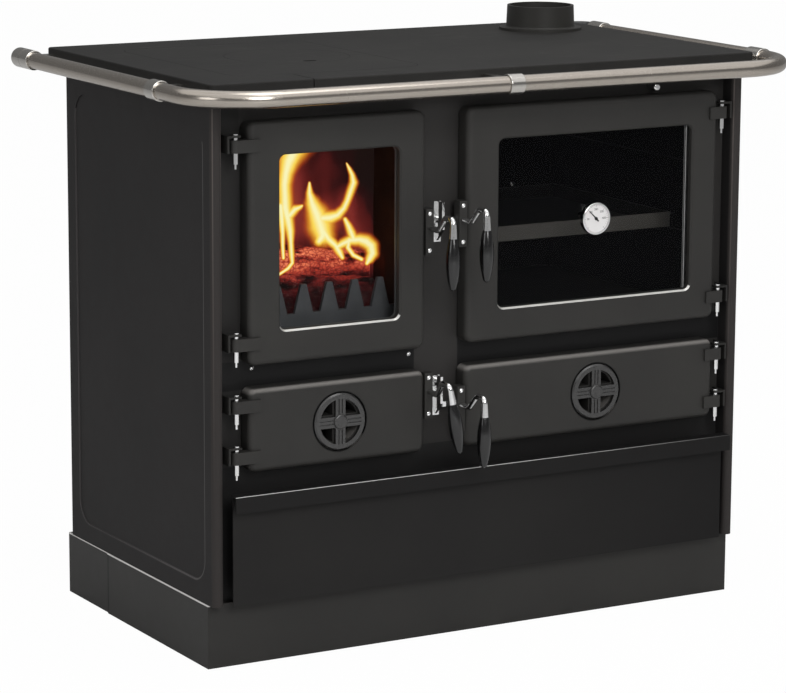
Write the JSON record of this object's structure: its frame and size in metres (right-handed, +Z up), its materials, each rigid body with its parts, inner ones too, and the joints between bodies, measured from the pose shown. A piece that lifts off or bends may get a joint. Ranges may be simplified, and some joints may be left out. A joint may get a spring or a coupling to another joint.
{
  "type": "wood cookstove",
  "caption": "Free-standing wood cookstove with glazed fire and oven doors, air-wheel doors, wood drawer, cast hob, flue collar and steel handrail.",
  "frame": {"origin": "on the floor, at the centre of the whole outline with the handrail", "axes": "+X to the right of a cook who faces the stove, +Y to the wall behind it, +Z up"},
  "size_m": [1.032, 0.66, 0.889],
  "materials": {
    "panel_paint": "satin-matt charcoal stove paint on folded steel",
    "door_cast": "satin-matt charcoal stove paint on smooth castings",
    "inner_steel": "dull black heat-proof steel",
    "oven_enamel": "glossy dark enamel",
    "hob_iron": "fine-grained blackened cast iron",
    "fire_iron": "rough cast iron, dull from heat",
    "firebrick": null,
    "rail_steel": "brushed stainless tube",
    "polished_chrome": "polished chrome",
    "elbow_black": "black fitting",
    "grip_black": "glossy black heat-proof plastic",
    "window_glass": "clear heat-proof glass",
    "rope": "woven glass-fibre rope",
    "dial_white": "white dial",
    "needle_black": "black pointer"
  },
  "bodies": {
    "stove": {"plinth_front": "panel_paint", "plinth_rear": "panel_paint", "hearth_deck": "inner_steel", "side_panel_left": "panel_paint", "side_panel_right": "panel_paint", "back_panel": "panel_paint", "front_plate": "panel_paint", "hob_frame": "hob_iron", "hob_plate": "hob_iron", "flue_collar": "hob_iron", "handrail": "rail_steel", "rail_fittings": "polished_chrome", "rail_elbow": "elbow_black", "firebricks": "firebrick", "grate": "fire_iron", "log_guard": "fire_iron", "firebox_shell": "inner_steel", "oven_box": "inner_steel", "oven_shelf": "oven_enamel", "ash_pan": "inner_steel", "hinge_brackets": "panel_paint", "hinge_pins": "polished_chrome", "latch_keepers": "polished_chrome", "drawer_runners": "inner_steel"},
    "fire_door": {"fire_door": "door_cast", "fire_glass": "window_glass", "fire_glass_frame": "inner_steel", "fire_seal": "rope", "fire_hinge_leaves": "door_cast", "fire_latch_bracket": "door_cast"},
    "fire_handle": {"fire_lever": "polished_chrome", "fire_grip": "grip_black"},
    "oven_door": {"oven_door": "door_cast", "oven_glass": "window_glass", "oven_glass_frame": "inner_steel", "oven_seal": "rope", "oven_hinge_leaves": "door_cast", "oven_latch_bracket": "door_cast", "thermometer_case": "polished_chrome", "thermometer_dial": "dial_white"},
    "oven_handle": {"oven_lever": "polished_chrome", "oven_grip": "grip_black"},
    "needle": {"thermometer_needle": "needle_black"},
    "ash_door": {"ash_door": "door_cast", "ash_hinge_leaves": "door_cast", "ash_latch_bracket": "door_cast"},
    "ash_handle": {"ash_lever": "polished_chrome", "ash_grip": "grip_black"},
    "ash_wheel": {"ash_wheel": "door_cast"},
    "lower_door": {"lower_door": "door_cast", "lower_hinge_leaves": "door_cast", "lower_latch_bracket": "door_cast"},
    "lower_handle": {"lower_lever": "polished_chrome", "lower_grip": "grip_black"},
    "lower_wheel": {"lower_wheel": "door_cast"},
    "drawer": {"drawer_front": "panel_paint", "drawer_box": "inner_steel"},
    "damper": {"damper_knob": "polished_chrome", "damper_rod": "inner_steel"},
    "hob_lid": {"hob_lid": "hob_iron"}
  },
  "joints": [
    {"name": "fire_door_swing", "type": "hinge", "parent": "stove", "child": "fire_door", "pos_m": [-0.414, -0.218, 0.6185], "axis": [0, 0, -1], "range_deg": [0, 105]},
    {"name": "ash_door_swing", "type": "hinge", "parent": "stove", "child": "ash_door", "pos_m": [-0.414, -0.218, 0.35], "axis": [0, 0, -1], "range_deg": [0, 105]},
    {"name": "oven_door_swing", "type": "hinge", "parent": "stove", "child": "oven_door", "pos_m": [0.4155, -0.218, 0.6185], "axis": [0, 0, 1], "range_deg": [0, 105]},
    {"name": "lower_door_swing", "type": "hinge", "parent": "stove", "child": "lower_door", "pos_m": [0.4155, -0.218, 0.35], "axis": [0, 0, 1], "range_deg": [0, 105]},
    {"name": "fire_handle_turn", "type": "hinge", "parent": "fire_door", "child": "fire_handle", "pos_m": [-0.099, -0.222, 0.62], "axis": [0, 1, 0], "range_deg": [0, 90]},
    {"name": "ash_handle_turn", "type": "hinge", "parent": "ash_door", "child": "ash_handle", "pos_m": [-0.099, -0.222, 0.377], "axis": [0, 1, 0], "range_deg": [0, 90]},
    {"name": "oven_handle_turn", "type": "hinge", "parent": "oven_door", "child": "oven_handle", "pos_m": [-0.0425, -0.222, 0.628], "axis": [0, -1, 0], "range_deg": [0, 90]},
    {"name": "lower_handle_turn", "type": "hinge", "parent": "lower_door", "child": "lower_handle", "pos_m": [-0.0435, -0.222, 0.352], "axis": [0, -1, 0], "range_deg": [0, 90]},
    {"name": "ash_wheel_turn", "type": "hinge", "parent": "ash_door", "child": "ash_wheel", "pos_m": [-0.248, -0.222, 0.34825], "axis": [0, 1, 0], "range_deg": [0, 45]},
    {"name": "lower_wheel_turn", "type": "hinge", "parent": "lower_door", "child": "lower_wheel", "pos_m": [0.1925, -0.222, 0.34825], "axis": [0, 1, 0], "range_deg": [0, 45]},
    {"name": "needle_turn", "type": "hinge", "parent": "oven_door", "child": "needle", "pos_m": [0.191, -0.2175, 0.612], "axis": [0, 1, 0], "range_deg": [-90, 180], "stiffness_Nm_per_rad": 0.001},
    {"name": "drawer_slide", "type": "slide", "parent": "stove", "child": "drawer", "axis": [0, -1, 0], "range_m": [0, 0.3]},
    {"name": "damper_slide", "type": "slide", "parent": "stove", "child": "damper", "axis": [0, -1, 0], "range_m": [0, 0.04]},
    {"name": "hob_lid_lift", "type": "slide", "parent": "stove", "child": "hob_lid", "axis": [0, 0, 1], "range_m": [0, 0.08]}
  ]
}
